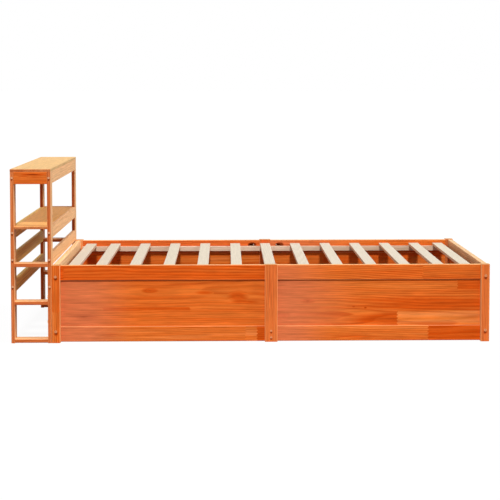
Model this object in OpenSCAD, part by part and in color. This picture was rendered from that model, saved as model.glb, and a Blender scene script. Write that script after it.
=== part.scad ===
// Single bed frame of stained pine with a bookcase headboard.
// Millimetres. The floor is z = 0, the bed runs along X with its foot at +X,
// and the near side of the bed is at -Y.

/* [Mattress] */
// Length of the mattress
mattress_l = 2000; // [1900:10:2200]
// Width of the mattress
mattress_w = 900; // [800:10:1400]
// Free room at each end and each side of the mattress
mattress_gap = 5; // [2:1:15]

/* [Bed side frames] */
// Thickness of the side rails
rail_t = 20; // [18:1:28]
// Height of the side rails
rail_h = 72; // [66:1:90]
// Height of the rails' top edge above the floor
rail_top = 365; // [330:1:450]
// Gap between the bottom rails and the floor
floor_gap = 2; // [1:1:10]
// Width of the legs along the bed
leg_w = 40; // [38:1:60]
// How far the legs stand proud of the rails
leg_proud = 20; // [14:1:30]
// How far legs and middle posts rise above the rails
leg_rise = 2; // [0:1:6]
// Width of the middle posts along the bed
mid_w = 60; // [56:1:90]
// How far the middle posts stand proud of the rails
mid_proud = 10; // [4:1:20]
// Radius of the eased edges of the bed's timber
edge_r = 3; // [1:0.5:4]

/* [Panels] */
// Thickness of the panels
panel_t = 7; // [5:0.5:8]
// How far a panel lies behind the face of its rails
panel_set = 9; // [6:0.5:10]
// Depth of the grooves that hold the panels
groove_d = 8; // [6:1:10]
// Free room between a panel's edge and the bottom of its groove
panel_play = 1; // [0.5:0.5:2]
// Free room at each face of a panel in its groove
panel_fit = 0.2; // [0.1:0.1:0.5]

/* [Bed end frames] */
// Thickness of the end rails
end_t = 25; // [22:1:28]
// How far the end rails lie inside the legs' outer faces
end_set = 3; // [2:1:8]
// Height of the end rails
end_rail_h = 72; // [66:1:90]

/* [Slats] */
// Number of slats
slat_n = 13; // [9:1:17]
// Width of a slat
slat_w = 53; // [45:1:70]
// Thickness of a slat
slat_t = 15; // [12:1:20]
// How far the slats' tops lie below the rails' top edge
slat_drop = 17; // [10:1:25]
// Gap between an end frame and the nearest slat
slat_end_gap = 34; // [20:1:60]
// Pitch from the first slat to the second, at each end
slat_first_pitch = 131; // [100:1:150]
// Gap between a slat's end and the rail
slat_side_gap = 3; // [1:1:6]
// Width of the ledgers that carry the slats
ledger_w = 25; // [20:1:35]
// Height of the ledgers
ledger_h = 25; // [20:1:32]

/* [Bottom tie] */
// Thickness of the tie board between the middle posts
tie_t = 20; // [16:1:30]
// Height of the tie board
tie_h = 62; // [50:1:80]
// Gap between the tie board and the floor
tie_lift = 6; // [2:1:20]

/* [Bookcase] */
// Depth of the bookcase, along the bed
case_d = 189; // [160:1:280]
// Height of the bookcase
case_h = 820; // [760:1:1000]
// Thickness of posts, cross boards, rungs and side aprons
stock_t = 17; // [16:1:22]
// Depth of a post across the bed, and of the rungs
post_d = 62; // [56:1:80]
// Height of the cross boards and the side aprons
cross_h = 58; // [52:1:66]
// Height of the shelf's top above the floor
shelf_z = 550; // [530:1:620]
// Pitch of the cross boards below the shelf
cross_pitch = 127; // [110:1:140]
// How far the upper rungs reach below the cross boards beside them
rung_drop = 5; // [0:1:10]
// Gap between the lowest rung and the floor
rung_lift = 2; // [1:1:20]
// Thickness of the top board
top_t = 12; // [10:1:18]
// Thickness of the shelf
shelf_t = 12; // [10:1:18]
// Radius of the eased edges of the bookcase's timber
case_edge_r = 2; // [1:0.5:3]

/* [Bolts and barrel nuts] */
// Diameter of the bookcase bolts
case_bolt_d = 6; // [5:1:6]
// Diameter of the bookcase bolts' heads
case_head_d = 10; // [9:0.5:11]
// Distance of the bookcase barrel nuts from their board's end
case_nut_in = 30; // [20:1:45]
// Diameter of the bookcase barrel nuts
case_nut_d = 10; // [9:1:12]
// Diameter of the bed bolts
bed_bolt_d = 8; // [6:1:8]
// Diameter of the bed bolts' heads
bed_head_d = 13; // [12:0.5:15]
// Distance of the bed barrel nuts from their rail's end
bed_nut_in = 35; // [25:1:50]
// Diameter of the bed barrel nuts
bed_nut_d = 12; // [11:1:14]
// Distance from a bed bolt to the panel side of its rail
bed_bolt_edge = 20; // [18:1:24]
// Distance from a bed bolt to the outer face of its leg, along the bed
bed_bolt_in = 19; // [17:1:21]
// How far a bolt runs on past its barrel nut's centre
bolt_past = 9; // [7:1:12]
// Depth of the bolt heads below the wood
head_sunk = 1; // [0.5:0.5:3]
// Free room round bolts, heads and barrel nuts
hole_fit = 0.25; // [0.1:0.05:0.5]
// Free room round a thread
thread_fit = 0.05; // [0.05:0.05:0.1]

/* [Joining bolts] */
// Diameter of the bolts between bookcase and bed
join_d = 6; // [5:1:8]
// Diameter of their flat heads
join_head_d = 14; // [12:1:18]
// How far they reach into the bed's legs
join_in = 23; // [15:1:30]
// Distance of their axes from the outer side of the bed
join_y = 15; // [12:1:18]

/* [Dowels] */
// Diameter of the bed's dowels
bed_dowel_d = 8; // [6:1:10]
// Length of the bed's dowels
bed_dowel_l = 35; // [30:1:50]
// Depth of the bed's dowels in the legs
bed_dowel_in = 12; // [10:1:13]
// Spacing of the two dowels in a side rail's end
rail_dowel_pitch = 36; // [30:1:40]
// Distance from a bed bolt to the dowel beside it
end_dowel_off = 34; // [28:1:38]
// Diameter of the bookcase's dowels
case_dowel_d = 6; // [5:1:7]
// Length of the bookcase's dowels
case_dowel_l = 28; // [24:1:36]
// Depth of the bookcase's dowels in posts and aprons
case_dowel_in = 10; // [8:1:12]
// Depth of the dowels in the underside of the top board
top_dowel_in = 7; // [5:1:8]
// Distance from a bookcase bolt up to the dowel beside it
cross_dowel_off = 18; // [14:1:20]
// Spacing of the two dowels in a rung's end
rung_dowel_pitch = 34; // [24:1:40]
// Number of dowels along each long edge of shelf and top
long_dowel_n = 5; // [3:1:9]
// Free room round a dowel
dowel_fit = 0.1; // [0.05:0.05:0.2]
// Free room at a dowel's end
dowel_end_gap = 1; // [0.5:0.5:2]

/* [Screws] */
// Diameter of the screws in slats and ledgers
slat_screw_d = 4; // [3:0.5:5]
// Length of the screws in slats and ledgers
slat_screw_l = 35; // [30:1:38]
// Diameter of the tie board's screws
tie_screw_d = 5; // [4:0.5:6]
// Length of the tie board's screws
tie_screw_l = 70; // [50:1:90]
// Spacing of the two screws in the tie board's end
tie_screw_pitch = 31; // [24:1:36]
// Diameter of the hex-head screws in the pockets
pocket_screw_d = 5; // [4:0.5:6]
// How far they reach into the middle post
pocket_screw_in = 24; // [16:1:26]
// Length of a pocket along its rail
pocket_l = 24; // [20:1:30]
// Height of a pocket
pocket_h = 14; // [12:1:16]
// Height of the pockets' middles above the ledgers
pocket_lift = 6.5; // [5:0.5:9]
// Wood left between a pocket and the rail's end
pocket_wall = 30; // [24:1:36]
// Free room behind a pocket screw's head
pocket_room = 0.5; // [0.3:0.1:1.5]

/* [Hidden] */
$fn = 48;
past = 1;
head = -1;
foot = 1;
near = -1;
far = 1;
rear = -1;
front = 1;

// Colours: stained timber, its paler and darker boards, bare slats, zinc and bare dowels
stain = [0.84, 0.40, 0.16];
stain_light = [0.91, 0.68, 0.42];
stain_panel = [0.82, 0.42, 0.20];
bare_wood = [0.90, 0.83, 0.72];
zinc = [0.74, 0.72, 0.69];
beech = [0.85, 0.72, 0.52];

// Overall sizes of the bed
leg_t = leg_proud + rail_t;
leg_h = rail_top + leg_rise;
inner_l = mattress_l + 2 * mattress_gap;
inner_w = mattress_w + 2 * mattress_gap;
bed_l = inner_l + 2 * (end_t + end_set);
bed_w = inner_w + 2 * leg_t;
total_l = bed_l + case_d;
half_l = bed_l / 2;
half_w = bed_w / 2;
half_inner_w = inner_w / 2;
bed_x = case_d / 2;
case_x = (case_d - total_l) / 2;

// Heights in the side and end frames
top_rail_low = rail_top - rail_h;
bottom_rail_high = floor_gap + rail_h;
end_top_low = rail_top - end_rail_h;
end_bottom_high = floor_gap + end_rail_h;
panel_in = groove_d - panel_play;
panel_y = leg_proud + panel_set - half_w;
end_panel_x = half_l - end_set - panel_set - panel_t;
end_bolt_x = half_l - bed_bolt_in;
bed_bolt_zs = [end_bottom_high - bed_bolt_edge, end_top_low + bed_bolt_edge];
end_dowel_zs = [bed_bolt_zs[0] - end_dowel_off, bed_bolt_zs[1] + end_dowel_off];
rail_mid_zs = [floor_gap + rail_h / 2, rail_top - rail_h / 2];
rail_dowel_zs = [for (z = rail_mid_zs, s = [-1, 1]) z + s * rail_dowel_pitch / 2];
rail_y = -half_w + leg_proud + rail_t / 2;

// Slats and their ledgers
slat_top = rail_top - slat_drop;
ledger_top = slat_top - slat_t;
slat_reach = inner_l / 2 - slat_end_gap - slat_w / 2;
slat_pitch = 2 * (slat_reach - slat_first_pitch) / (slat_n - 3);
function slat_x(i) =
  i == 0 ? -slat_reach
  : i == slat_n - 1 ? slat_reach
  : -slat_reach + slat_first_pitch + (i - 1) * slat_pitch;
function ledger_screw_x(i) = slat_x(i) + (i < slat_n / 2 ? -1 : 1) * slat_w / 4;
ledger_mid = half_inner_w - ledger_w / 2;

// Levels in the bookcase, from the top down
post_h = case_h - top_t;
half_d = case_d / 2;
bay = half_d - stock_t;
level_zs = [post_h - cross_h, shelf_z - cross_h, shelf_z - cross_h - cross_pitch,
            shelf_z - cross_h - 2 * cross_pitch];
case_bolt_zs = [for (z = level_zs) z + cross_h / 2];
rung_high = level_zs[2] - rung_drop;
rung_zs = [rung_lift, (rung_lift + rung_high) / 2, rung_high];
cross_end = half_w - post_d;
post_mid_x = half_d - stock_t / 2;
rung_dowel_ys = [for (s = [-1, 1]) -half_w + post_d / 2 + s * rung_dowel_pitch / 2];
apron_dowel_zs = [for (s = [-1, 1]) post_h - cross_h / 2 + s * cross_h / 4];
long_dowel_ys = [for (i = [0:long_dowel_n - 1])
                 -cross_end + cross_end * (2 * i + 1) / long_dowel_n];

// Fasteners
case_head_h = case_bolt_d;
bed_head_h = bed_bolt_d;
case_nut_l = stock_t - 3;
bed_nut_l = end_t - 4;
case_bolt_l = post_d - head_sunk - case_head_h + case_nut_in + bolt_past;
bed_bolt_l = leg_t - head_sunk - bed_head_h + bed_nut_in + bolt_past;
join_head_h = join_d / 2;
join_zs = [(rung_zs[0] + rung_zs[1] + stock_t) / 2, (rung_zs[1] + stock_t + level_zs[3]) / 2];
tie_mid_z = tie_lift + tie_h / 2;
tie_screw_zs = [for (s = [-1, 1]) tie_mid_z + s * tie_screw_pitch / 2];
mid_face = half_w - leg_proud + mid_proud;
pocket_drop = rail_top - ledger_top - pocket_lift;
pocket_zs = [bottom_rail_high - pocket_drop, rail_top - pocket_drop];
pocket_head_d = 1.8 * pocket_screw_d;
pocket_head_h = 0.7 * pocket_screw_d;
pocket_end_r = pocket_h / 2;

// Placing: the bed's pieces are drawn at the foot end of the near side,
// and the bookcase's at the front of the near side
module at_end(end) {
  translate([bed_x, 0, 0])
    if (end == foot) children();
    else mirror([1, 0, 0]) children();
}
module at_row(row) {
  translate([case_x, 0, 0])
    if (row == front) children();
    else mirror([1, 0, 0]) children();
}
module at_side(side) {
  if (side == near) children();
  else mirror([0, 1, 0]) children();
}
module along_x() {
  rotate([0, 90, 0]) children();
}
module along_y() {
  rotate([-90, 0, 0]) children();
}

// Timber with eased long edges, between two corners, running along one axis
module eased_profile(w, h, r) {
  translate([r, 0]) square([w - 2 * r, h]);
  translate([0, r]) square([w, h - 2 * r]);
  for (x = [r, w - r], y = [r, h - r]) translate([x, y]) circle(r = r);
}
module timber(axis, low, high, r) {
  s = high - low;
  translate(low)
    if (axis == "x") rotate([90, 0, 90]) linear_extrude(s.x) eased_profile(s.y, s.z, r);
    else if (axis == "y") translate([0, s.y, 0]) rotate([90, 0, 0])
      linear_extrude(s.y) eased_profile(s.x, s.z, r);
    else linear_extrude(s.z) eased_profile(s.x, s.y, r);
}
module block(low, high) {
  translate(low) cube(high - low);
}

// Slots and recesses for the tools that turn bolts, screws and nuts, cut into the face at z = 0
module slot(l, w, depth) {
  block([-l / 2, -w / 2, -past], [l / 2, w / 2, depth]);
}
module cross_recess(d) {
  for (a = [0, 90]) rotate(a) slot(1.1 * d, 0.3 * d, 0.3 * d);
}

// Bolts and screws along their own Z: the head's outer face is at z = 0, the tip points up
module socket_bolt(d, head_d, head_h, l) {
  difference() {
    union() {
      cylinder(d = head_d, h = head_h);
      cylinder(d = d, h = head_h + l);
    }
    translate([0, 0, -past]) cylinder(d = 0.9 * d, h = past + 0.6 * head_h, $fn = 6);
  }
}
module socket_bolt_hole(d, head_d, head_h, l) {
  translate([0, 0, -head_sunk - past])
    cylinder(d = head_d + 2 * hole_fit, h = past + head_sunk + head_h);
  cylinder(d = d + 2 * hole_fit, h = head_h + l + past);
}
module flat_screw(d, l) {
  difference() {
    union() {
      cylinder(d1 = 2 * d, d2 = d, h = d / 2);
      cylinder(d = d, h = l);
    }
    cross_recess(d);
  }
}
module flat_screw_hole(d, l) {
  translate([0, 0, -past]) cylinder(d = 2 * d + 2 * thread_fit, h = past);
  cylinder(d1 = 2 * d + 2 * thread_fit, d2 = d + 2 * thread_fit, h = d / 2);
  cylinder(d = d + 2 * thread_fit, h = l + past);
}
module barrel_nut(d, l, bolt_d, off) {
  difference() {
    cylinder(d = d, h = l);
    slot(0.7 * d, 0.15 * d, 0.15 * d);
    translate([0, 0, off]) rotate([90, 0, 0])
      cylinder(d = bolt_d + 2 * thread_fit, h = d + 2 * past, center = true);
  }
}

// Dowels along their own Z: z = 0 is the joint, the deep end points down
module dowel(d, l, in) {
  translate([0, 0, -in]) cylinder(d = d, h = l);
}
module dowel_hole_in(d, in) {
  translate([0, 0, -in - dowel_end_gap]) cylinder(d = d + 2 * dowel_fit, h = in + dowel_end_gap + past);
}
module dowel_hole_out(d, l, in) {
  translate([0, 0, -past]) cylinder(d = d + 2 * dowel_fit, h = l - in + dowel_end_gap + past);
}

// Bed bolts run along Y through a leg into an end rail's end grain
module at_bed_bolts() {
  for (z = bed_bolt_zs) translate([end_bolt_x, -half_w + head_sunk, z]) along_y() children();
}
module bed_bolt_holes() {
  at_bed_bolts() socket_bolt_hole(bed_bolt_d, bed_head_d, bed_head_h, bed_bolt_l);
}
module at_bed_nuts() {
  for (z = bed_bolt_zs)
    translate([half_l - end_set - end_t, -half_inner_w + bed_nut_in, z]) along_x() children();
}
module bed_nut_holes() {
  at_bed_nuts() translate([0, 0, -past]) cylinder(d = bed_nut_d + 2 * hole_fit, h = bed_nut_l + past);
}

// Dowels beside the bed bolts, and dowels from the side rails into the legs
module at_end_dowels() {
  for (z = end_dowel_zs) translate([end_bolt_x, -half_inner_w, z]) along_y() children();
}
module at_rail_dowels() {
  for (z = rail_dowel_zs)
    translate([half_l - leg_w, rail_y, z]) rotate([0, -90, 0]) children();
}

// Pockets are milled into a rail's inner face. A hex-head screw bears on a pocket's flat end
// and runs along X through the middle of the rail's thickness into the middle post
module at_pocket(z) {
  translate([mid_w / 2 + pocket_wall, -half_inner_w - rail_t / 2, z]) children();
}
module pocket_hole(z) {
  at_pocket(z) {
    block([0, -pocket_head_d / 2 - pocket_room, -pocket_end_r],
          [pocket_l - pocket_end_r, rail_t / 2 + past, pocket_end_r]);
    translate([pocket_l - pocket_end_r, -pocket_head_d / 2 - pocket_room, 0]) along_y()
      cylinder(r = pocket_end_r, h = pocket_head_d / 2 + pocket_room + rail_t / 2 + past);
    translate([-pocket_wall - pocket_screw_in - past, 0, 0]) along_x()
      cylinder(d = pocket_screw_d + 2 * thread_fit, h = pocket_wall + pocket_screw_in + 2 * past);
  }
}
module pocket_screw(z) {
  at_pocket(z) {
    along_x() cylinder(d = pocket_head_d, h = pocket_head_h, $fn = 6);
    translate([-pocket_wall - pocket_screw_in, 0, 0]) along_x()
      cylinder(d = pocket_screw_d, h = pocket_wall + pocket_screw_in + pocket_head_h / 2);
  }
}

// Joining bolts run along X from the bookcase's front posts into the head legs
module at_join_bolts(side) {
  for (z = join_zs)
    translate([case_x + bay - join_head_h, side * (half_w - join_y), z]) along_x() children();
}
module join_bolt_holes(side) {
  at_join_bolts(side)
    cylinder(d = join_d + 2 * thread_fit, h = join_head_h + stock_t + join_in + past);
}

// A leg: grooved for the side panel and the end panel, bored for bolts and dowels
module leg(end, side) {
  color(stain) difference() {
    at_end(end) at_side(side) difference() {
      timber("z", [half_l - leg_w, -half_w, 0], [half_l, -half_inner_w, leg_h], edge_r);
      block([half_l - leg_w - past, panel_y - panel_fit, bottom_rail_high - groove_d],
            [half_l - leg_w + groove_d, panel_y + panel_t + panel_fit, top_rail_low + groove_d]);
      block([end_panel_x - panel_fit, -half_inner_w - groove_d, end_bottom_high - groove_d],
            [end_panel_x + panel_t + panel_fit, -half_inner_w + past, end_top_low + groove_d]);
      bed_bolt_holes();
      at_end_dowels() dowel_hole_in(bed_dowel_d, bed_dowel_in);
      at_rail_dowels() dowel_hole_in(bed_dowel_d, bed_dowel_in);
    }
    if (end == head) join_bolt_holes(side);
  }
}

// A middle post: grooved on both sides, with pilot holes for pocket and tie screws
module middle_post(side) {
  color(stain) at_side(side) difference() {
    translate([bed_x, 0, 0])
      timber("z", [-mid_w / 2, -mid_face, 0], [mid_w / 2, -half_inner_w, leg_h], edge_r);
    for (end = [head, foot]) at_end(end) {
      block([mid_w / 2 - groove_d, panel_y - panel_fit, bottom_rail_high - groove_d],
            [mid_w / 2 + past, panel_y + panel_t + panel_fit, top_rail_low + groove_d]);
      for (z = pocket_zs) pocket_hole(z);
    }
    tie_screw_holes();
    ledger_screw_holes(near);
  }
}

// Half of a side's top rail or bottom rail, grooved for the panel
module side_rail(end, side, low, groove_low, pocket_z) {
  color(stain) at_end(end) at_side(side) difference() {
    timber("x", [mid_w / 2, -half_w + leg_proud, low], [half_l - leg_w, -half_inner_w, low + rail_h],
           edge_r);
    block([mid_w / 2 - past, panel_y - panel_fit, groove_low],
          [half_l - leg_w + past, panel_y + panel_t + panel_fit, groove_low + groove_d + past]);
    at_rail_dowels() dowel_hole_out(bed_dowel_d, bed_dowel_l, bed_dowel_in);
    pocket_hole(pocket_z);
  }
}
module top_rail(end, side) {
  difference() {
    side_rail(end, side, top_rail_low, top_rail_low - past, pocket_zs[1]);
    ledger_screw_holes(side);
  }
}
module bottom_rail(end, side) {
  side_rail(end, side, floor_gap, bottom_rail_high - groove_d, pocket_zs[0]);
}

// Half of a side's panel, loose in its grooves
module side_panel(end, side) {
  color(stain_panel) at_end(end) at_side(side)
    block([mid_w / 2 - panel_in, panel_y, bottom_rail_high - panel_in],
          [half_l - leg_w + panel_in, panel_y + panel_t, top_rail_low + panel_in]);
}

// Top or bottom rail of an end frame
module end_rail(end, low, groove_low, tone) {
  color(tone) at_end(end) difference() {
    timber("y", [half_l - end_set - end_t, -half_inner_w, low],
           [half_l - end_set, half_inner_w, low + end_rail_h], edge_r);
    block([end_panel_x - panel_fit, -half_inner_w - past, groove_low],
          [end_panel_x + panel_t + panel_fit, half_inner_w + past, groove_low + groove_d + past]);
    for (side = [near, far]) at_side(side) {
      bed_bolt_holes();
      bed_nut_holes();
      at_end_dowels() dowel_hole_out(bed_dowel_d, bed_dowel_l, bed_dowel_in);
    }
  }
}
module end_top_rail(end) {
  end_rail(end, end_top_low, end_top_low - past, stain_light);
}
module end_bottom_rail(end) {
  end_rail(end, floor_gap, end_bottom_high - groove_d, stain);
}
module end_panel(end) {
  color(stain_panel) at_end(end)
    block([end_panel_x, -half_inner_w - panel_in, end_bottom_high - panel_in],
          [end_panel_x + panel_t, half_inner_w + panel_in, end_top_low + panel_in]);
}

// Each ledger is screwed to its side's top rails, below the slats
module at_ledger_screws(side) {
  for (i = [0:slat_n - 1]) at_side(side)
    translate([bed_x + ledger_screw_x(i), -half_inner_w + ledger_w, ledger_top - ledger_h / 2])
      rotate([90, 0, 0]) children();
}
module ledger_screw_holes(side) {
  at_ledger_screws(side) flat_screw_hole(slat_screw_d, slat_screw_l);
}

// Slats screwed down on the ledgers
module at_slat_screws() {
  for (i = [0:slat_n - 1], side = [near, far])
    translate([bed_x + slat_x(i), side * ledger_mid, slat_top]) rotate([180, 0, 0]) children();
}
module slats() {
  color(bare_wood) difference() {
    for (i = [0:slat_n - 1])
      timber("y", [bed_x + slat_x(i) - slat_w / 2, -half_inner_w + slat_side_gap, ledger_top],
             [bed_x + slat_x(i) + slat_w / 2, half_inner_w - slat_side_gap, slat_top], edge_r / 2);
    at_slat_screws() flat_screw_hole(slat_screw_d, slat_screw_l);
  }
}
module slat_ledger(side) {
  color(bare_wood) difference() {
    at_side(side)
      timber("x", [bed_x - half_l + leg_w, -half_inner_w, ledger_top - ledger_h],
             [bed_x + half_l - leg_w, -half_inner_w + ledger_w, ledger_top], edge_r / 2);
    at_slat_screws() flat_screw_hole(slat_screw_d, slat_screw_l);
    ledger_screw_holes(side);
  }
}

// Tie board between the middle posts, just above the floor
module at_tie_screws() {
  for (z = tie_screw_zs) translate([bed_x, -mid_face, z]) along_y() children();
}
module tie_screw_holes() {
  at_tie_screws() flat_screw_hole(tie_screw_d, tie_screw_l);
}
module tie_board() {
  color(stain) difference() {
    timber("y", [bed_x - tie_t / 2, -half_inner_w, tie_lift],
           [bed_x + tie_t / 2, half_inner_w, tie_lift + tie_h], edge_r);
    for (side = [near, far]) at_side(side) tie_screw_holes();
  }
}

// The bed's hardware
module bed_bolts() {
  color(zinc) for (end = [head, foot], side = [near, far]) at_end(end) at_side(side)
    at_bed_bolts() socket_bolt(bed_bolt_d, bed_head_d, bed_head_h, bed_bolt_l);
}
module bed_barrel_nuts() {
  color(zinc) for (end = [head, foot], side = [near, far]) at_end(end) at_side(side)
    at_bed_nuts() barrel_nut(bed_nut_d, bed_nut_l, bed_bolt_d, end_set + end_t - bed_bolt_in);
}
module bed_dowels() {
  color(beech) for (end = [head, foot], side = [near, far]) at_end(end) at_side(side) {
    at_end_dowels() dowel(bed_dowel_d, bed_dowel_l, bed_dowel_in);
    at_rail_dowels() dowel(bed_dowel_d, bed_dowel_l, bed_dowel_in);
  }
}
module pocket_screws() {
  color(zinc) for (end = [head, foot], side = [near, far]) at_end(end) at_side(side)
    for (z = pocket_zs) pocket_screw(z);
}
module tie_screws() {
  color(zinc) for (side = [near, far]) at_side(side)
    at_tie_screws() flat_screw(tie_screw_d, tie_screw_l);
}
module slat_screws() {
  color(zinc) {
    at_slat_screws() flat_screw(slat_screw_d, slat_screw_l);
    for (side = [near, far]) at_ledger_screws(side) flat_screw(slat_screw_d, slat_screw_l);
  }
}

// Bookcase bolts run along Y through a post into a cross board's end grain
module at_case_bolts() {
  for (z = case_bolt_zs) translate([post_mid_x, -half_w + head_sunk, z]) along_y() children();
}
module case_bolt_holes() {
  at_case_bolts() socket_bolt_hole(case_bolt_d, case_head_d, case_head_h, case_bolt_l);
}
module at_cross_dowels() {
  for (z = case_bolt_zs)
    translate([post_mid_x, -cross_end, z + cross_dowel_off]) along_y() children();
}
module at_case_nuts() {
  for (row = [rear, front], side = [near, far], z = case_bolt_zs)
    translate([case_x + row * post_mid_x - stock_t / 2, side * (cross_end - case_nut_in), z])
      along_x() children();
}

// Dowels from rungs and side aprons into the posts, at the front of the near side
module at_rung_dowels() {
  for (z = rung_zs, y = rung_dowel_ys)
    translate([bay, y, z + stock_t / 2]) rotate([0, -90, 0]) children();
}
module at_apron_dowels() {
  for (z = apron_dowel_zs)
    translate([bay, -half_w + stock_t / 2, z]) rotate([0, -90, 0]) children();
}

// Dowels along the shelf's front edge, and under the top board's front edge
module at_shelf_dowels() {
  for (y = long_dowel_ys)
    translate([bay, y, shelf_z - shelf_t / 2]) rotate([0, -90, 0]) children();
}
module at_top_dowels() {
  for (y = long_dowel_ys) translate([post_mid_x, y, post_h]) rotate([180, 0, 0]) children();
}

// A post of the bookcase
module case_post(row, side) {
  color(stain) difference() {
    at_row(row) at_side(side) difference() {
      timber("z", [bay, -half_w, 0], [half_d, -cross_end, post_h], case_edge_r);
      case_bolt_holes();
      at_cross_dowels() dowel_hole_in(case_dowel_d, case_dowel_in);
      at_rung_dowels() dowel_hole_in(case_dowel_d, case_dowel_in);
      at_apron_dowels() dowel_hole_in(case_dowel_d, case_dowel_in);
    }
    if (row == front) join_bolt_holes(side);
  }
}

// A rung lies flat between the two posts of a side
module rung(side, i) {
  color(stain) at_side(side) difference() {
    translate([case_x, 0, 0])
      timber("x", [-bay, -half_w, rung_zs[i]], [bay, -cross_end, rung_zs[i] + stock_t], case_edge_r);
    for (row = [rear, front]) at_row(row)
      at_rung_dowels() dowel_hole_out(case_dowel_d, case_dowel_l, case_dowel_in);
  }
}

// A side apron stands on edge under the top board, between the two posts of a side
module side_apron(side) {
  color(stain) at_side(side) difference() {
    translate([case_x, 0, 0])
      timber("x", [-bay, -half_w, post_h - cross_h], [bay, -half_w + stock_t, post_h], case_edge_r);
    for (row = [rear, front]) at_row(row)
      at_apron_dowels() dowel_hole_out(case_dowel_d, case_dowel_l, case_dowel_in);
  }
}

// A cross board stands on edge between the near and the far post
module cross_board(row, level) {
  color(stain_light) difference() {
    at_row(row) difference() {
      timber("y", [bay, -cross_end, level_zs[level]],
             [half_d, cross_end, level_zs[level] + cross_h], case_edge_r);
      for (side = [near, far]) at_side(side) {
        case_bolt_holes();
        at_cross_dowels() dowel_hole_out(case_dowel_d, case_dowel_l, case_dowel_in);
      }
      if (level == 0) at_top_dowels() dowel_hole_out(case_dowel_d, case_dowel_l, top_dowel_in);
      if (level == 1) at_shelf_dowels() dowel_hole_in(case_dowel_d, case_dowel_in);
    }
    at_case_nuts() translate([0, 0, -past])
      cylinder(d = case_nut_d + 2 * hole_fit, h = case_nut_l + past);
  }
}
module shelf_board() {
  color(stain_light) difference() {
    translate([case_x, 0, 0])
      timber("x", [-bay, -half_w, shelf_z - shelf_t], [bay, half_w, shelf_z], case_edge_r);
    for (row = [rear, front]) at_row(row)
      at_shelf_dowels() dowel_hole_out(case_dowel_d, case_dowel_l, case_dowel_in);
  }
}
module top_board() {
  color(stain_light) difference() {
    translate([case_x, 0, 0])
      timber("x", [-half_d, -half_w, post_h], [half_d, half_w, case_h], case_edge_r);
    for (row = [rear, front]) at_row(row)
      at_top_dowels() dowel_hole_in(case_dowel_d, top_dowel_in);
  }
}

// The bookcase's hardware
module bookcase_bolts() {
  color(zinc) for (row = [rear, front], side = [near, far]) at_row(row) at_side(side)
    at_case_bolts() socket_bolt(case_bolt_d, case_head_d, case_head_h, case_bolt_l);
}
module bookcase_barrel_nuts() {
  color(zinc) at_case_nuts() barrel_nut(case_nut_d, case_nut_l, case_bolt_d, stock_t / 2);
}
module bookcase_dowels() {
  color(beech) for (row = [rear, front]) at_row(row) {
    for (side = [near, far]) at_side(side) {
      at_cross_dowels() dowel(case_dowel_d, case_dowel_l, case_dowel_in);
      at_rung_dowels() dowel(case_dowel_d, case_dowel_l, case_dowel_in);
      at_apron_dowels() dowel(case_dowel_d, case_dowel_l, case_dowel_in);
    }
    at_shelf_dowels() dowel(case_dowel_d, case_dowel_l, case_dowel_in);
    at_top_dowels() dowel(case_dowel_d, case_dowel_l, top_dowel_in);
  }
}
module joining_bolts() {
  color(zinc) for (side = [near, far]) at_join_bolts(side) {
    cylinder(d = join_head_d, h = join_head_h);
    cylinder(d = join_d, h = join_head_h + stock_t + join_in);
  }
}

top_board();
shelf_board();
case_post(rear, near);  // rear_post_near
case_post(front, near);  // front_post_near
case_post(rear, far);  // rear_post_far
case_post(front, far);  // front_post_far
side_apron(near);  // side_apron_near
side_apron(far);  // side_apron_far
rung(near, 0);  // lower_rung_near
rung(near, 1);  // middle_rung_near
rung(near, 2);  // upper_rung_near
rung(far, 0);  // lower_rung_far
rung(far, 1);  // middle_rung_far
rung(far, 2);  // upper_rung_far
cross_board(front, 0);  // front_board_top
cross_board(front, 1);  // front_board_shelf
cross_board(front, 2);  // front_board_middle
cross_board(front, 3);  // front_board_low
cross_board(rear, 0);  // rear_board_top
cross_board(rear, 1);  // rear_board_shelf
cross_board(rear, 2);  // rear_board_middle
cross_board(rear, 3);  // rear_board_low
bookcase_bolts();
bookcase_barrel_nuts();
bookcase_dowels();
joining_bolts();
leg(head, near);  // head_leg_near
leg(head, far);  // head_leg_far
leg(foot, near);  // foot_leg_near
leg(foot, far);  // foot_leg_far
middle_post(near);  // middle_post_near
middle_post(far);  // middle_post_far
top_rail(head, near);  // top_rail_head_near
top_rail(foot, near);  // top_rail_foot_near
top_rail(head, far);  // top_rail_head_far
top_rail(foot, far);  // top_rail_foot_far
bottom_rail(head, near);  // bottom_rail_head_near
bottom_rail(foot, near);  // bottom_rail_foot_near
bottom_rail(head, far);  // bottom_rail_head_far
bottom_rail(foot, far);  // bottom_rail_foot_far
side_panel(head, near);  // side_panel_head_near
side_panel(foot, near);  // side_panel_foot_near
side_panel(head, far);  // side_panel_head_far
side_panel(foot, far);  // side_panel_foot_far
end_top_rail(head);  // head_end_top_rail
end_bottom_rail(head);  // head_end_bottom_rail
end_panel(head);  // head_end_panel
end_top_rail(foot);  // foot_end_top_rail
end_bottom_rail(foot);  // foot_end_bottom_rail
end_panel(foot);  // foot_end_panel
slat_ledger(near);  // slat_ledger_near
slat_ledger(far);  // slat_ledger_far
slats();
tie_board();
bed_bolts();
bed_barrel_nuts();
bed_dowels();
pocket_screws();
tie_screws();
slat_screws();
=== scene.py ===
# Single bed frame of stained pine with a bookcase headboard, in a plain white studio
import bmesh
import bpy
import math
from mathutils import Matrix, Vector


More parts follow.
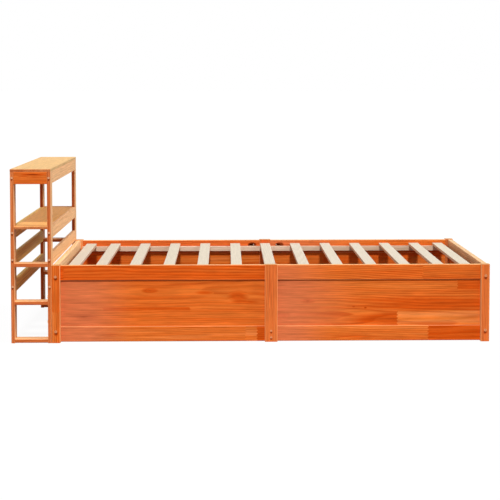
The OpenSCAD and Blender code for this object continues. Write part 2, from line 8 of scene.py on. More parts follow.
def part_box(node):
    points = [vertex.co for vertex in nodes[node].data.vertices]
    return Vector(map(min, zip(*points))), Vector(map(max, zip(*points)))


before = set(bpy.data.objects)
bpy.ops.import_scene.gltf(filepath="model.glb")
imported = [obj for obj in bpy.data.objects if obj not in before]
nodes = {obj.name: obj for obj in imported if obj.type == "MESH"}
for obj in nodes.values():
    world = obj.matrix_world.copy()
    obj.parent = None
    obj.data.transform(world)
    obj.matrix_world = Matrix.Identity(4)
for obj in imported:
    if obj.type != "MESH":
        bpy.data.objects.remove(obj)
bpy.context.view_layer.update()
scene = bpy.context.scene
print("frame loaded:", len(nodes), "nodes")


def linearColour(hexText):
    # sRGB hex text to a linear colour with alpha
    values = [int(hexText[i:i + 2], 16) / 255 for i in (1, 3, 5)]
    return [v / 12.92 if v <= 0.04045 else ((v + 0.055) / 1.055) ** 2.4 for v in values] + [1.0]


def addNode(tree, kind, inputs=(), **settings):
    # adds a node with its settings, and fills or links its inputs in order or by name
    node = tree.nodes.new("ShaderNode" + kind)
    for name, value in settings.items():
        setattr(node, name, value)
    for key, value in (inputs.items() if isinstance(inputs, dict) else enumerate(inputs)):
        if isinstance(value, bpy.types.NodeSocket):
            tree.links.new(value, node.inputs[key])
        else:
            node.inputs[key].default_value = value
    return node


def newMaterial(name):
    material = bpy.data.materials.new(name)
    material.use_nodes = True
    material.node_tree.nodes.clear()
    return material, material.node_tree


# Camera
view = {
    "place": (-0.1237, -6.2515, 1.2148),   # metres
    "yaw": 1.171,                          # degrees to the right
    "pitch": 3.042,                        # degrees down
    "lens": 88.73,                         # millimetres
    "sensor": 36.0,                        # millimetres
    "shift": -0.2,                         # raises the object in the frame
    "reach": 1000.0,                       # metres
}
cameraData = bpy.data.cameras.new("studioCamera")
cameraData.sensor_width = view["sensor"]
cameraData.lens = view["lens"]
cameraData.shift_y = view["shift"]
cameraData.clip_end = view["reach"]
camera = bpy.data.objects.new("studioCamera", cameraData)
camera.location = view["place"]
camera.rotation_euler = (math.radians(90 - view["pitch"]), 0, math.radians(-view["yaw"]))
scene.collection.objects.link(camera)
scene.camera = camera
scene.view_settings.view_transform = "Standard"
print("camera placed")


# Pine, sawn, planed and eased. Sizes in metres, rates per metre along, across and through a board
pine = {
    "ringPitch": 0.0072,                # growth rings, drawn coarse so that they show
    "ringWander": 0.009,                # how far they stray along a board
    "wanderRate": (2.0, 9.0, 9.0),      # how fast they stray
    "pithDepth": 0.035,                 # least distance of the tree's centre behind the face
    "pithSpread": 0.10,                 # how far that distance varies from stave to stave
    "sideLeast": 0.03,                  # how far to one side the tree's centre lies
    "sideSpread": 0.12,
    "taper": 0.030,                     # how much the distance changes per metre of board
    "lateRise": (0.25, 0.85),           # where in a ring the late wood darkens
    "lateFall": (0.90, 1.0),            # and where it ends
    "bandRate": (1.3, 45.0, 45.0),      # broad bands in which rings show more or less
    "bandLeast": 0.45,                  # share of the rings that is left where they show least
    "bandTone": 0.30,                   # how far the bands' tones differ
    "linePitch": 0.0064,                # fine lines between the rings, drawn coarse for the same reason
    "lineLength": 0.16,
    "lineLight": 0.7,                   # how far they go paler, as a share of how far they go darker
    "fibreRate": (18.0, 380.0, 380.0),  # fibres, about 3 mm wide
    "fibreReach": (0.25, 0.75),         # where most of their noise lies
    "fibreShade": (0.90, 1.08),
    "mottlePitch": 0.016,               # soft clouds where the stain took unevenly
    "mottleLength": 0.11,
    "fingerPitch": 0.0076,              # teeth of a finger joint
    "fingerDepth": 0.008,
    "markLift": 0.006,                  # how far a knot's flame pushes the rings apart
    "markFull": 1.5,                    # tone at which a mark is at its darkest
    "markShade": 0.88,
    "deepMost": 0.75,                   # most of the deep and pale colours that a tone brings, and of the dark colour of knots and painted shadows
    "paleMost": 0.95,
    "knotAndPaintedShadeMost": 0.9,
    "knotAndPaintedShadeTones": (1.3, 2.6),            # tones between which the dark colour of knots and painted shadows comes in
    "rosyFade": 0.6,                    # how much the rings fade where a board is rosy
    "ringShade": (1.02, 0.88),          # brightness of early and of late wood
    "faceTurn": (0.60, 0.95),           # how squarely a face looks one way before it gets its full painted light
    "easedTurn": (0.80, 0.97),          # how slanted a face is before it counts as eased
    "endTurn": (0.70, 0.95),            # how squarely a face looks along the board before it is end grain
    "endShade": 0.78,
    "ringRelief": -0.6,                 # late wood stands lower than the fibres
    "reliefStrength": 0.12,
    "reliefDepth": 0.0004,
    "roughReach": (0.2, 0.8),           # part of the fibres' noise over which the roughness differs
    "roughSpread": (-0.05, 0.08),
    "seedStep": 3.37,                   # what sets the draws of boards, rows and staves apart
    "rowShift": 7.0,
    "staveShift": 9.0,
    "staveSeed": 1.7,
    "singleStave": 3,
}

# sRGB colours of the stained and of the bare timber, with the paler golden colours that paint light on faces towards
# the lamps, and an edge colour that is partly sanded wood and partly a painted highlight
orangeStain = {
    "early": "#DC742D", "late": "#BC4002", "deep": "#D04A00", "pale": "#F09C60", "rosy": "#CC6E48",
    "knotAndPaintedShade": "#742800", "paintedLightEarly": "#EEBB80", "paintedLightLate": "#D39A58", "edge": "#F8B27A",
    "roughness": 0.50, "gloss": 0.05, "rings": 0.90, "lines": 0.12, "mottle": 0.09,
}
brownStain = {
    "early": "#D07440", "late": "#AC4812", "deep": "#A83E0C", "pale": "#E09862", "rosy": "#D06E48",
    "knotAndPaintedShade": "#5E2808", "paintedLightEarly": "#F2BF8A", "paintedLightLate": "#DC9A60", "edge": "#E8A878",
    "roughness": 0.50, "gloss": 0.02, "rings": 0.75, "lines": 0.08, "mottle": 0.05,
}
stains = {
    "orange": orangeStain,
    "brown": brownStain,
    # the next four differ from their base stain in the painted light on their lit faces, cream also in its edge
    # highlight and honey also in gloss
    "brownWithHoneyPaintedLight": dict(brownStain, paintedLightEarly="#E7BA7C", paintedLightLate="#CC9A55", gloss=0.04),
    "brownWithAmberPaintedLight": dict(brownStain, paintedLightEarly="#E8B068", paintedLightLate="#CE8D46"),
    "brownWithOlivePaintedLight": dict(brownStain, paintedLightEarly="#E3BB6C", paintedLightLate="#C89847"),
    "orangeWithCreamPaintedLight": dict(orangeStain, paintedLightEarly="#F4CB9C", paintedLightLate="#E0AC70", edge="#F4C090"),
    "bare": {
        "early": "#DBBFA7", "late": "#C9A78A", "deep": "#B99A7C", "pale": "#E4CDB8", "rosy": "#E0A478",
        "knotAndPaintedShade": "#6E5A40", "paintedLightEarly": "#D6CBB8", "paintedLightLate": "#C0AD92", "edge": "#E2D6C6",
        "roughness": 0.62, "gloss": 0.10, "rings": 0.40, "lines": 0.04, "mottle": 0.015,
    },
}

# Where most of a noise lies
noiseReach = {"From Min": 0.3, "From Max": 0.7}

# What a board has unless the lists below say otherwise
plainBoard = {
    "stain": "orange",
    "rows": 1.0,              # width of the staves across the board
    "lengths": 4.0,           # length of the staves
    "tone": 0.0,              # -1 pale to 1 deep, and beyond 1.5 dark like knots and painted shadows
    "toneSpread": 0.35,       # how far the staves' tones differ
    "rosy": None,             # rosy up to the first place, no longer so beyond the second, and how much
    "figure": 1.0,            # how strongly its rings show
    "paintedLightShares": (0.0, 0.0, 0.9),  # how much painted light, as a paler golden colour, its faces towards -X, +X and up get
    "paintedLightLevel": 1.0,         # how bright that painted light is
    "eased": 0.75,            # how pale its eased edges are, partly from sanding and partly as a painted highlight
    "marks": [],              # knots and flames, and painted shadows below bolt heads and in pockets: place along and across, half length, half height, tone
    "markLevel": 0.0,         # where they lie through the board's thickness
    "markDepth": 0.5,         # how far they reach up and down from there
    "staves": [],             # single staves, some of them painted shadow lines under rails: from, to, low, high, tone
}

# Painted shadows below the bolt heads, as dark marks
legPaintedShadows = [(z, 0.0, 0.012, 0.012, 3.5) for z in (-0.1385, 0.1205)]
tiePaintedShadows = [(z, 0.0, 0.008, 0.008, 4.0) for z in (-0.1695, -0.1385)]
postPaintedShadows = [(z, -0.031, 0.008, 0.015, 4.0) for z in (-0.144, -0.017, 0.110, 0.368)]

# What most boards of the bookcase share
caseBoard = {"stain": "brown", "paintedLightShares": (0.0, 1.0, 1.0), "eased": 0.15}

# Groups of boards, by part of their names. The first that fits a name is taken
boardKinds = {
    "side_panel_head_near": {
        "tone": 0.05, "rosy": (-0.38, -0.10, 0.75), "figure": 0.62,
        "marks": [(-0.062, 0.059, 0.044, 0.014, 1.3), (-0.373, -0.064, 0.080, 0.016, 1.5),
                  (0.198, 0.050, 0.054, 0.012, 1.2), (0.354, 0.031, 0.056, 0.031, 1.35),
                  (0.397, 0.005, 0.080, 0.012, 0.9)],
        # the stave toned 2.3 along the panel's top edge is a painted shadow under the top rail
        "staves": [(-0.279, 0.132, -0.035, -0.020, 0.90), (-0.60, 0.60, 0.1065, 0.120, 2.3)],
    },
    "side_panel_foot_near": {
        "tone": 0.05, "rosy": (-0.46, -0.05, 0.80), "figure": 0.85,
        "marks": [(0.070, -0.078, 0.28, 0.029, 1.4), (-0.338, 0.007, 0.040, 0.014, 1.6),
                  (-0.451, -0.064, 0.034, 0.022, 1.2), (0.30, -0.008, 0.54, 0.046, 1.3),
                  (-0.064, -0.026, 0.008, 0.005, 1.7), (-0.120, -0.021, 0.008, 0.004, 1.3)],
        # the last stave, toned 2.3 along the panel's top edge, is a painted shadow under the top rail
        "staves": [(0.092, 0.60, -0.130, -0.040, -0.45), (0.378, 0.60, 0.059, 0.1065, 0.75),
                   (-0.60, 0.60, 0.1065, 0.120, 2.3)],
    },
    "top_rail_head_near": {"tone": 0.85, "figure": 1.2},
    "top_rail_foot_near": {"tone": 0.20, "rosy": (-0.46, -0.18, 0.55), "staves": [(0.212, 0.60, -0.04, 0.04, 0.5)]},
    "bottom_rail_head_near": {
        "tone": 0.30, "paintedLightShares": (0.0, 0.0, 0.5), "eased": 0.28, "rosy": (-0.36, -0.12, 0.75),
        "marks": [(-0.25, -0.003, 0.05, 0.012, 0.7)],
        "staves": [(0.449, 0.60, -0.04, 0.04, 0.7)],
    },
    "bottom_rail_foot_near": {
        "tone": 0.15, "paintedLightShares": (0.0, 0.0, 0.5), "eased": 0.28, "rosy": (-0.42, -0.20, 0.75),
        "marks": [(-0.11, -0.015, 0.13, 0.012, 0.8)],
        "staves": [(0.238, 0.60, -0.04, 0.04, 0.60)],
    },
    "side_panel": {"rows": 0.0585, "lengths": 0.48, "tone": 0.4, "figure": 0.6},
    "end_panel": {"rows": 0.0585, "lengths": 0.48, "figure": 0.8},
    "head_end_top_rail": {"stain": "orangeWithCreamPaintedLight", "paintedLightShares": (0.0, 1.0, 0.9), "paintedLightLevel": 1.13, "lengths": 0.60},
    "foot_end_top_rail": {"stain": "orangeWithCreamPaintedLight", "paintedLightShares": (0.7, 0.0, 1.0), "paintedLightLevel": 0.88, "lengths": 0.60},
    # the mark of tone 12 in each far top rail is painted shade in the pocket beside the middle post
    "top_rail_head_far": {
        "tone": 0.35, "rosy": (1.0, 2.0, 0.2), "lengths": 0.58, "markLevel": 0.004, "markDepth": 0.0135,
        "marks": [(0.442, 0.0105, 0.030, 0.016, 12.0)],
    },
    "top_rail_foot_far": {
        "tone": 0.20, "rosy": (-0.45, 0.15, 0.6), "lengths": 0.58, "markLevel": 0.004, "markDepth": 0.0135,
        "marks": [(-0.431, 0.0105, 0.030, 0.016, 12.0)],
    },
    "rail": {"tone": 0.3, "lengths": 0.58},
    "head_leg_near": {
        "paintedLightShares": (0.0, 0.6, 0.9), "tone": 0.15, "marks": legPaintedShadows, "markLevel": -0.020, "markDepth": 0.020,
    },
    "head_leg_far": {"paintedLightShares": (0.0, 0.6, 0.9), "tone": -0.9},
    "middle_post_near": {
        "paintedLightShares": (0.6, 0.6, 0.9), "tone": 0.35, "rosy": (1.0, 2.0, 0.25), "eased": 0.6,
        "marks": [(0.08, -0.006, 0.13, 0.005, 1.2)] + tiePaintedShadows, "markLevel": -0.015, "markDepth": 0.020,
    },
    "middle_post_far": {"tone": 0.35, "rosy": (1.0, 2.0, 0.25), "eased": 0.6},
    "foot_leg_near": {
        "paintedLightShares": (0.8, 0.0, 0.9), "tone": -0.10, "rosy": (1.0, 2.0, 0.25), "figure": 0.6,
        "marks": legPaintedShadows, "markLevel": -0.020, "markDepth": 0.020,
    },
    "foot_leg_far": {"stain": "brown", "tone": -0.3},
    # the far posts' deeper tones are painted shade, as the top board shadows them
    "rear_post_far": dict(caseBoard, tone=1.3),
    "front_post_far": dict(caseBoard, tone=0.6),
    "front_board": dict(caseBoard, paintedLightShares=(1.0, 1.0, 1.0), paintedLightLevel=1.03, lengths=0.55, figure=0.6),
    "rear_board": dict(caseBoard, stain="brownWithOlivePaintedLight", paintedLightShares=(0.6, 1.0, 1.0), paintedLightLevel=1.09, lengths=0.50, figure=0.7),
    "top_board": dict(caseBoard, stain="brownWithHoneyPaintedLight", paintedLightLevel=0.90, rows=0.063, lengths=0.60, figure=0.5),
    "shelf_board": dict(caseBoard, stain="brownWithAmberPaintedLight", paintedLightShares=(0.0, 1.0, 0.85), paintedLightLevel=1.15, rows=0.062, lengths=0.45,
                        figure=0.6),
    "post": dict(caseBoard, marks=postPaintedShadows, markDepth=0.006),
    "rung": dict(caseBoard, paintedLightLevel=1.15, tone=0.4),
    "apron": dict(caseBoard, stain="orange", tone=0.35, marks=[
        (0.012, 0.016, 0.062, 0.005, 2.6), (0.022, 0.004, 0.036, 0.004, 1.8), (-0.030, 0.006, 0.030, 0.004, 1.4)]),
    "ledger": {"stain": "bare", "paintedLightShares": (0.0, 0.0, 0.0), "eased": 0.1, "tone": 0.3, "lengths": 0.70},
    "slats": {"stain": "bare", "paintedLightShares": (0.0, 0.4, 1.0), "paintedLightLevel": 0.96, "rosy": (1.0, 2.0, 0.6),
              "rows": 0.0813, "toneSpread": 0.5},
    "": {},
}


def makePine(name, kind, centre, along, across, seed):
    # Planed pine: growth rings cut by the board, finger-jointed staves, knots' flames and fine fibres, with painted
    # light and shade.
    # The eye sees line and flame figure along the board, end grain at its ends, eased edges paler partly from sanding
    # and partly as a painted highlight, faces towards the lamps painted paler and golden, and painted shadows below
    # bolt heads, under rails and in pockets.
    look = stains[kind["stain"]]
    material, tree = newMaterial(name)
    turn = Matrix((along, across, along.cross(across))).to_4x4()
    coordinates = addNode(tree, "TexCoord").outputs
    board = addNode(tree, "Mapping", {
        "Vector": coordinates["Object"], "Location": -(turn @ centre), "Rotation": turn.to_euler()}).outputs[0]
    place = addNode(tree, "SeparateXYZ", [board]).outputs

    # finger joints make the ends of staves toothed
    teeth = addNode(tree, "Math", [place[1], pine["fingerPitch"]], operation="PINGPONG").outputs[0]
    toothed = addNode(tree, "Math", [teeth, pine["fingerDepth"] / pine["fingerPitch"], place[0]],
                      operation="MULTIPLY_ADD").outputs[0]
    rowPlace = addNode(tree, "Math", [place[1], 1 / kind["rows"], 0.5], operation="MULTIPLY_ADD").outputs[0]
    row = addNode(tree, "Math", [rowPlace], operation="FLOOR").outputs[0]
    rowKey = addNode(tree, "Math", [row, seed], operation="ADD").outputs[0]
    rowDraw = addNode(tree, "TexWhiteNoise", {"W": rowKey}, noise_dimensions="1D").outputs["Value"]
    rowStart = addNode(tree, "Math", [rowDraw, pine["rowShift"]], operation="MULTIPLY").outputs[0]
    piecePlace = addNode(tree, "Math", [toothed, 1 / kind["lengths"], rowStart],
                         operation="MULTIPLY_ADD").outputs[0]
    stave = addNode(tree, "Math", [piecePlace], operation="FLOOR").outputs[0]

    # tone: knots' flames and painted shadows first, then single staves over them, among them painted shadow lines
    tone = lift = 0.0
    for alongPlace, acrossPlace, halfLength, halfHeight, depth in kind["marks"]:
        spot = addNode(tree, "Mapping", {
            "Vector": board, "Location": (alongPlace, acrossPlace, kind["markLevel"]),
            "Scale": (halfLength, halfHeight, kind["markDepth"])}, vector_type="TEXTURE").outputs[0]
        flame = addNode(tree, "TexGradient", [spot], gradient_type="SPHERICAL").outputs["Fac"]
        tone = addNode(tree, "Math", [flame, depth, tone], operation="MULTIPLY_ADD").outputs[0]
        lift = addNode(tree, "Math", [flame, pine["markLift"], lift], operation="MULTIPLY_ADD").outputs[0]
    for number, (start, end, low, high, depth) in enumerate(kind["staves"]):
        lengthwise = addNode(tree, "Math", [toothed, (start + end) / 2, (end - start) / 2],
                             operation="COMPARE").outputs[0]
        crosswise = addNode(tree, "Math", [place[1], (low + high) / 2, (high - low) / 2],
                            operation="COMPARE").outputs[0]
        inside = addNode(tree, "Math", [lengthwise, crosswise], operation="MULTIPLY").outputs[0]
        tone = addNode(tree, "Mix", {"Factor": inside, "A": tone, "B": depth}).outputs[0]
        stave = addNode(tree, "Math", [inside, number + pine["singleStave"], stave],
                        operation="MULTIPLY_ADD").outputs[0]
    staveKey = addNode(tree, "CombineXYZ", [row, stave, seed * pine["staveSeed"]]).outputs[0]
    draw = addNode(tree, "TexWhiteNoise", {"Vector": staveKey}).outputs
    draws = addNode(tree, "SeparateColor", [draw["Color"]]).outputs

    # growth rings round a tree centre that differs from stave to stave and leans a little
    alongStave = addNode(tree, "Math", [draws[2], pine["staveShift"], place[0]], operation="MULTIPLY_ADD").outputs[0]
    stretched = addNode(tree, "CombineXYZ", [alongStave, place[1], place[2]]).outputs[0]
    coarse = addNode(tree, "Mapping", {"Vector": stretched, "Scale": pine["wanderRate"]}).outputs[0]
    wander = addNode(tree, "TexNoise", {"Vector": coarse, "Scale": 1.0, "Detail": 2.0, "Roughness": 0.5}).outputs[0]
    sideOff = addNode(tree, "MapRange", {
        "Value": draws[0], "To Min": -pine["sideSpread"], "To Max": pine["sideSpread"]}).outputs[0]
    sideSign = addNode(tree, "Math", [sideOff], operation="SIGN").outputs[0]
    sideFar = addNode(tree, "Math", [sideSign, pine["sideLeast"], sideOff], operation="MULTIPLY_ADD").outputs[0]
    side = addNode(tree, "Math", [place[1], sideFar], operation="ADD").outputs[0]
    depthDraw = addNode(tree, "MapRange", {
        "Value": draws[1], "To Min": pine["pithDepth"], "To Max": pine["pithDepth"] + pine["pithSpread"]}).outputs[0]
    depthHere = addNode(tree, "Math", [depthDraw, place[2]], operation="ADD").outputs[0]
    leanDraw = addNode(tree, "MapRange", {
        "Value": draw["Value"], "To Min": -pine["taper"], "To Max": pine["taper"]}).outputs[0]
    depthLean = addNode(tree, "Math", [place[0], leanDraw, depthHere], operation="MULTIPLY_ADD").outputs[0]
    sideLean = addNode(tree, "Math", [place[0], leanDraw, side], operation="MULTIPLY_ADD").outputs[0]
    fromCentre = addNode(tree, "CombineXYZ", [depthLean, sideLean]).outputs[0]
    radius = addNode(tree, "VectorMath", [fromCentre], operation="LENGTH").outputs["Value"]
    strayed = addNode(tree, "Math", [wander, pine["ringWander"] * 2, radius], operation="MULTIPLY_ADD").outputs[0]
    grown = addNode(tree, "Math", [strayed, lift], operation="ADD").outputs[0]
    ringPlace = addNode(tree, "Math", [grown, 1 / pine["ringPitch"]], operation="MULTIPLY").outputs[0]
    ring = addNode(tree, "Math", [ringPlace], operation="FRACT").outputs[0]
    rise = addNode(tree, "MapRange", {
        "Value": ring, "From Min": pine["lateRise"][0], "From Max": pine["lateRise"][1]},
        interpolation_type="SMOOTHSTEP").outputs[0]
    fall = addNode(tree, "MapRange", {
        "Value": ring, "From Min": pine["lateFall"][0], "From Max": pine["lateFall"][1], "To Min": 1.0,
        "To Max": 0.0}, interpolation_type="SMOOTHSTEP").outputs[0]
    late = addNode(tree, "Math", [rise, fall], operation="MULTIPLY").outputs[0]

    # broad bands, fine lines, clouds and fibres
    bandPlace = addNode(tree, "Mapping", {"Vector": stretched, "Scale": pine["bandRate"]}).outputs[0]
    bands = addNode(tree, "TexNoise", {"Vector": bandPlace, "Scale": 1.0, "Detail": 3.0, "Roughness": 0.6}).outputs[0]
    linePlace = addNode(tree, "Mapping", {
        "Vector": stretched,
        "Scale": (1 / pine["lineLength"], 1 / pine["linePitch"], 1 / pine["linePitch"])}).outputs[0]
    lines = addNode(tree, "TexNoise", {"Vector": linePlace, "Scale": 1.0, "Detail": 1.0, "Roughness": 0.5}).outputs[0]
    mottlePlace = addNode(tree, "Mapping", {
        "Vector": stretched,
        "Scale": (1 / pine["mottleLength"], 1 / pine["mottlePitch"], 1 / pine["mottlePitch"])}).outputs[0]
    mottle = addNode(tree, "TexNoise", {
        "Vector": mottlePlace, "Scale": 1.0, "Detail": 2.0, "Roughness": 0.6}).outputs[0]
    fibrePlace = addNode(tree, "Mapping", {"Vector": stretched, "Scale": pine["fibreRate"]}).outputs[0]
    fibres = addNode(tree, "TexNoise", {
        "Vector": fibrePlace, "Scale": 1.0, "Detail": 2.0, "Roughness": 0.7}).outputs[0]

    lateMost = look["rings"] * kind["figure"]
    lateBands = addNode(tree, "MapRange", {
        "Value": bands, **noiseReach, "To Min": pine["bandLeast"] * lateMost, "To Max": lateMost}).outputs[0]
    lateShare = addNode(tree, "Math", [late, lateBands], operation="MULTIPLY").outputs[0]
    if kind["rosy"]:
        rosyStart, rosyEnd, rosyMost = kind["rosy"]
        rosyShare = addNode(tree, "MapRange", {
            "Value": place[0], "From Min": rosyStart, "From Max": rosyEnd, "To Min": rosyMost, "To Max": 0.0},
            interpolation_type="SMOOTHSTEP").outputs[0]
        shown = addNode(tree, "Math", [rosyShare, -pine["rosyFade"], 1.0], operation="MULTIPLY_ADD").outputs[0]
        lateShare = addNode(tree, "Math", [lateShare, shown], operation="MULTIPLY").outputs[0]
    stained = addNode(tree, "Mix", {
        "Factor": lateShare, "A": linearColour(look["early"]), "B": linearColour(look["late"])},
        data_type="RGBA").outputs[2]

    # each stave's own tone, and the board's
    ownTone = addNode(tree, "MapRange", {
        "Value": draws[1], "To Min": kind["tone"] - kind["toneSpread"],
        "To Max": kind["tone"] + kind["toneSpread"]}).outputs[0]
    bandTone = addNode(tree, "MapRange", {
        "Value": bands, **noiseReach, "To Min": -pine["bandTone"], "To Max": pine["bandTone"]}).outputs[0]
    toneSum = addNode(tree, "Math", [tone, ownTone], operation="ADD").outputs[0]
    fullTone = addNode(tree, "Math", [toneSum, bandTone], operation="ADD").outputs[0]
    deepShare = addNode(tree, "MapRange", {"Value": fullTone, "To Max": pine["deepMost"]}).outputs[0]
    paleShare = addNode(tree, "MapRange", {
        "Value": fullTone, "From Max": -1.0, "To Max": pine["paleMost"]}).outputs[0]
    stained = addNode(tree, "Mix", {"Factor": deepShare, "A": stained, "B": linearColour(look["deep"])},
                      data_type="RGBA").outputs[2]
    stained = addNode(tree, "Mix", {"Factor": paleShare, "A": stained, "B": linearColour(look["pale"])},
                      data_type="RGBA").outputs[2]
    if kind["rosy"]:
        stained = addNode(tree, "Mix", {"Factor": rosyShare, "A": stained, "B": linearColour(look["rosy"])},
                          data_type="RGBA").outputs[2]
    # knots and painted shadows, at tones beyond the knot range, turn towards the dark colour
    knotAndPaintedShadeShare = addNode(tree, "MapRange", {
        "Value": fullTone, "From Min": pine["knotAndPaintedShadeTones"][0], "From Max": pine["knotAndPaintedShadeTones"][1],
        "To Max": pine["knotAndPaintedShadeMost"]}).outputs[0]
    stained = addNode(tree, "Mix", {"Factor": knotAndPaintedShadeShare, "A": stained, "B": linearColour(look["knotAndPaintedShade"])},
                      data_type="RGBA").outputs[2]

    # painted light: faces towards -X, +X and up are painted paler and golden, with the same rings
    normal = addNode(tree, "SeparateXYZ", [coordinates["Normal"]]).outputs
    paintedLitColour = addNode(tree, "Mix", {
        "Factor": lateShare, "A": linearColour(look["paintedLightEarly"]), "B": linearColour(look["paintedLightLate"])},
        data_type="RGBA").outputs[2]
    paintedLitColour = addNode(tree, "VectorMath", {"Vector": paintedLitColour, "Scale": kind["paintedLightLevel"]}, operation="SCALE").outputs[0]
    slanted, square = pine["faceTurn"]
    backPaintedLight = addNode(tree, "MapRange", {
        "Value": normal[0], "From Min": -square, "From Max": -slanted, "To Min": kind["paintedLightShares"][0],
        "To Max": 0.0}).outputs[0]
    frontPaintedLight = addNode(tree, "MapRange", {
        "Value": normal[0], "From Min": slanted, "From Max": square, "To Max": kind["paintedLightShares"][1]}).outputs[0]
    topPaintedLight = addNode(tree, "MapRange", {
        "Value": normal[2], "From Min": slanted, "From Max": square, "To Max": kind["paintedLightShares"][2]}).outputs[0]
    sidePaintedLight = addNode(tree, "Math", [backPaintedLight, frontPaintedLight], operation="MAXIMUM").outputs[0]
    paintedLightMix = addNode(tree, "Math", [sidePaintedLight, topPaintedLight], operation="MAXIMUM").outputs[0]
    colour = addNode(tree, "Mix", {"Factor": paintedLightMix, "A": stained, "B": paintedLitColour}, data_type="RGBA").outputs[2]

    # eased edges are paler, partly sanded and partly a painted highlight, and end grain drinks more stain
    steepest = addNode(tree, "VectorMath", [coordinates["Normal"]], operation="ABSOLUTE").outputs[0]
    slopes = addNode(tree, "SeparateXYZ", [steepest]).outputs
    flatter = addNode(tree, "Math", [slopes[0], slopes[1]], operation="MAXIMUM").outputs[0]
    flattest = addNode(tree, "Math", [flatter, slopes[2]], operation="MAXIMUM").outputs[0]
    eased = addNode(tree, "MapRange", {
        "Value": flattest, "From Min": pine["easedTurn"][0], "From Max": pine["easedTurn"][1],
        "To Min": kind["eased"], "To Max": 0.0}).outputs[0]
    colour = addNode(tree, "Mix", {"Factor": eased, "A": colour, "B": linearColour(look["edge"])},
                     data_type="RGBA").outputs[2]
    endSlope = addNode(tree, "VectorMath", [coordinates["Normal"], tuple(along)],
                       operation="DOT_PRODUCT").outputs["Value"]
    endFacing = addNode(tree, "Math", [endSlope], operation="ABSOLUTE").outputs[0]
    endShade = addNode(tree, "MapRange", {
        "Value": endFacing, "From Min": pine["endTurn"][0], "From Max": pine["endTurn"][1], "To Min": 1.0,
        "To Max": pine["endShade"]}).outputs[0]

    # fibres, lines, clouds, rings and marks, painted shadows among them, each change the brightness a little
    fibreShade = addNode(tree, "MapRange", {
        "Value": fibres, "From Min": pine["fibreReach"][0], "From Max": pine["fibreReach"][1],
        "To Min": pine["fibreShade"][0], "To Max": pine["fibreShade"][1]}).outputs[0]
    lineShade = addNode(tree, "MapRange", {
        "Value": lines, **noiseReach, "To Min": 1 - look["lines"],
        "To Max": 1 + look["lines"] * pine["lineLight"]}).outputs[0]
    mottleShade = addNode(tree, "MapRange", {
        "Value": mottle, **noiseReach, "To Min": 1 - look["mottle"], "To Max": 1 + look["mottle"]}).outputs[0]
    ringShade = addNode(tree, "MapRange", {
        "Value": lateShare, "To Min": pine["ringShade"][0], "To Max": pine["ringShade"][1]}).outputs[0]
    shades = [fibreShade, lineShade, mottleShade, ringShade]
    if kind["marks"] or kind["staves"]:
        shades.append(addNode(tree, "MapRange", {
            "Value": tone, "From Max": pine["markFull"], "To Min": 1.0, "To Max": pine["markShade"]}).outputs[0])
    shade = endShade
    for share in shades:
        shade = addNode(tree, "Math", [shade, share], operation="MULTIPLY").outputs[0]
    colour = addNode(tree, "VectorMath", {"Vector": colour, "Scale": shade}, operation="SCALE").outputs[0]

    relief = addNode(tree, "Math", [late, pine["ringRelief"], fibres], operation="MULTIPLY_ADD").outputs[0]
    bump = addNode(tree, "Bump", {
        "Height": relief, "Strength": pine["reliefStrength"], "Distance": pine["reliefDepth"]}).outputs[0]
    rough = addNode(tree, "MapRange", {
        "Value": fibres, "From Min": pine["roughReach"][0], "From Max": pine["roughReach"][1],
        "To Min": look["roughness"] + pine["roughSpread"][0],
        "To Max": look["roughness"] + pine["roughSpread"][1]}).outputs[0]
    shader = addNode(tree, "BsdfPrincipled", {
        "Base Color": colour, "Roughness": rough, "Normal": bump, "Specular IOR Level": look["gloss"], "IOR": 1.5})
    addNode(tree, "OutputMaterial", {"Surface": shader.outputs[0]})
    return material


# Steel, headed, drilled and coated: name, the coat's colours where thick and where thin, its roughness, and
# 1 for a metal coat or 0 for a painted one
coats = {
    "nickel": ("nickelPlatedSteel", "#ECBA94", "#CC946C", 0.36, 1.0),
    "bronze": ("bronzedSteel", "#E8A478", "#C07A4C", 0.36, 1.0),
    "flake": ("zincFlakePaintedSteel", "#F2EAE2", "#D8CEC4", 0.55, 0.0),
}

# Clouds in a coat: how many to a metre, and how far they change its roughness
coatCloud = {"rate": 420.0, "roughSpread": 0.08}


def makeCoated(name, thick, thin, roughness, metallic):
    # The eye sees small discs with a faint cloud, softly glossy as metal and matt pale grey as paint
    material, tree = newMaterial(name)
    place = addNode(tree, "TexCoord").outputs["Object"]
    cloud = addNode(tree, "TexNoise", {"Vector": place, "Scale": coatCloud["rate"], "Detail": 2.0}).outputs[0]
    colour = addNode(tree, "Mix", {"Factor": cloud, "A": linearColour(thick), "B": linearColour(thin)},
                     data_type="RGBA").outputs[2]
    rough = addNode(tree, "MapRange", {
        "Value": cloud, "To Min": roughness - coatCloud["roughSpread"],
        "To Max": roughness + coatCloud["roughSpread"]}).outputs[0]
    shader = addNode(tree, "BsdfPrincipled", {"Base Color": colour, "Roughness": rough, "Metallic": metallic})
    addNode(tree, "OutputMaterial", {"Surface": shader.outputs[0]})
    return material


# Dowels. Flecks to a metre
beech = {"light": "#DCC09A", "dark": "#C6A478", "fleckRate": 600.0, "roughness": 0.6}


def makeBeech():
    # Beech dowel, turned and fluted: even pinkish straw wood with short flecks
    material, tree = newMaterial("turnedBeech")
    place = addNode(tree, "TexCoord").outputs["Object"]
    flecks = addNode(tree, "TexNoise", {"Vector": place, "Scale": beech["fleckRate"], "Detail": 2.0}).outputs[0]
    colour = addNode(tree, "Mix", {
        "Factor": flecks, "A": linearColour(beech["light"]), "B": linearColour(beech["dark"])},
        data_type="RGBA").outputs[2]
    shader = addNode(tree, "BsdfPrincipled", {"Base Color": colour, "Roughness": beech["roughness"]})
    addNode(tree, "OutputMaterial", {"Surface": shader.outputs[0]})
    return material


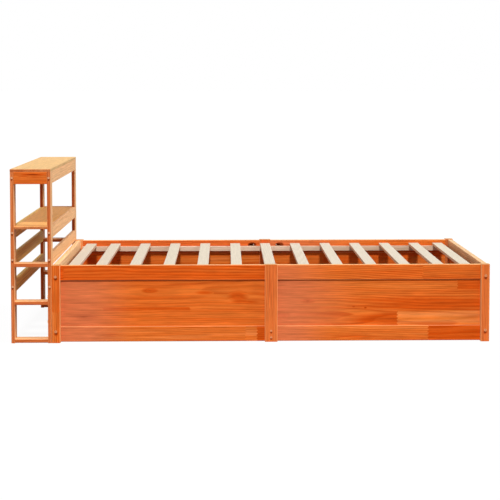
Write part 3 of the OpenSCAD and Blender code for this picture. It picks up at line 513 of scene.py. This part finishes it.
def dress(piece, material):
    if not piece.data.materials:
        piece.data.materials.append(material)
    for slot in piece.material_slots:
        slot.material = material


axes = [Vector((1, 0, 0)), Vector((0, 1, 0)), Vector((0, 0, 1))]
metals = {coat: makeCoated(*coats[coat]) for coat in coats}
dowelWood = makeBeech()
coatOf = {"bed": "bronze", "tie": "bronze", "pocket": "flake", "slat": "flake"}
for order, name in enumerate(sorted(nodes)):
    if any(word in name for word in ("bolts", "barrel_nuts", "screws")):
        dress(nodes[name], metals[coatOf.get(name.split("_")[0], "nickel")])
    elif "dowels" in name:
        dress(nodes[name], dowelWood)
    else:
        kind = dict(plainBoard, **next(boardKinds[part] for part in boardKinds if part in name))
        low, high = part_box(name)
        size = high - low
        narrow, middle, long = sorted(range(3), key=lambda axis: size[axis])
        along, across = axes[long], axes[middle]
        # the box of all slats together says nothing of one slat, and square legs face the side of the bed
        if name == "slats":
            along, across = axes[1], axes[0]
        if size[middle] - size[narrow] < 0.001:
            across = axes[1] if long == 0 else axes[0]
        seed = order * pine["seedStep"] + 1.0
        dress(nodes[name], makePine(name + "Pine", kind, (low + high) / 2, along, across, seed))
print("timber and metal dressed")


# Studio. Levels are shares of a plain white light
studio = {
    "floorSize": 400.0,          # metres
    "floorColour": "#989490",    # what lights the object from below
    "floorSeen": "#FFFFFF",      # what the camera sees
    "floorShown": 0.93,          # share of plain white over the floor's own light and shade
    "skyLight": 0.34,
    "frontLight": 0.80,          # from the front and above
    "frontHeight": 45.0,         # degrees above the floor
    "frontTurn": 0.0,            # degrees to the right of the camera
    "frontSoftness": 6.0,        # degrees across
    "sideLight": 0.58,           # from the foot end
    "sideHeight": 36.0,
    "sideTurn": 78.0,
    "sideSoftness": 18.0,
    "fillLight": 0.24,           # from the head end, low and wide
    "fillHeight": 15.0,
    "fillTurn": -70.0,
    "fillSoftness": 60.0,
}


def addSun(name, level, height, turn, softness):
    data = bpy.data.lights.new(name, "SUN")
    data.energy = level * math.pi
    data.angle = math.radians(softness)
    lamp = bpy.data.objects.new(name, data)
    lamp.rotation_euler = (math.radians(90 - height), 0, math.radians(turn))
    scene.collection.objects.link(lamp)


def seenShare(tree):
    # 1 for rays that show the studio, straight, in a gloss or through glass, and 0 for rays that light the object
    rays = addNode(tree, "LightPath").outputs
    seen = addNode(tree, "Math", [rays["Is Camera Ray"], rays["Is Glossy Ray"]], operation="MAXIMUM").outputs[0]
    return addNode(tree, "Math", [seen, rays["Is Transmission Ray"]], operation="MAXIMUM").outputs[0]


def makeFloor():
    # Painted studio floor, rolled matt: white where it is seen, with the object's soft shadow
    material, tree = newMaterial("mattWhiteFloor")
    seen = seenShare(tree)
    share = addNode(tree, "Math", [seen, studio["floorShown"]], operation="MULTIPLY").outputs[0]
    colour = addNode(tree, "Mix", {
        "Factor": seen, "A": linearColour(studio["floorColour"]), "B": linearColour(studio["floorSeen"])},
        data_type="RGBA").outputs[2]
    paint = addNode(tree, "BsdfDiffuse", [colour]).outputs[0]
    white = addNode(tree, "Emission", [(1, 1, 1, 1), 1.0]).outputs[0]
    mixed = addNode(tree, "MixShader", [share, paint, white])
    addNode(tree, "OutputMaterial", [mixed.outputs[0]])
    sheet = bmesh.new()
    bmesh.ops.create_grid(sheet, x_segments=1, y_segments=1, size=studio["floorSize"] / 2)
    mesh = bpy.data.meshes.new("studioFloor")
    sheet.to_mesh(mesh)
    sheet.free()
    floor = bpy.data.objects.new("studioFloor", mesh)
    scene.collection.objects.link(floor)
    mesh.materials.append(material)


def makeSky():
    world = bpy.data.worlds.new("studioSky")
    scene.world = world
    world.use_nodes = True
    tree = world.node_tree
    tree.nodes.clear()
    level = addNode(tree, "MapRange", {
        "Value": seenShare(tree), "To Min": studio["skyLight"], "To Max": 1.0}).outputs[0]
    sky = addNode(tree, "Background", [(1, 1, 1, 1), level])
    addNode(tree, "OutputWorld", [sky.outputs[0]])


makeFloor()
makeSky()
for sun in ("front", "side", "fill"):
    addSun(sun + "Sun", studio[sun + "Light"], studio[sun + "Height"], studio[sun + "Turn"], studio[sun + "Softness"])
print("studio lit")
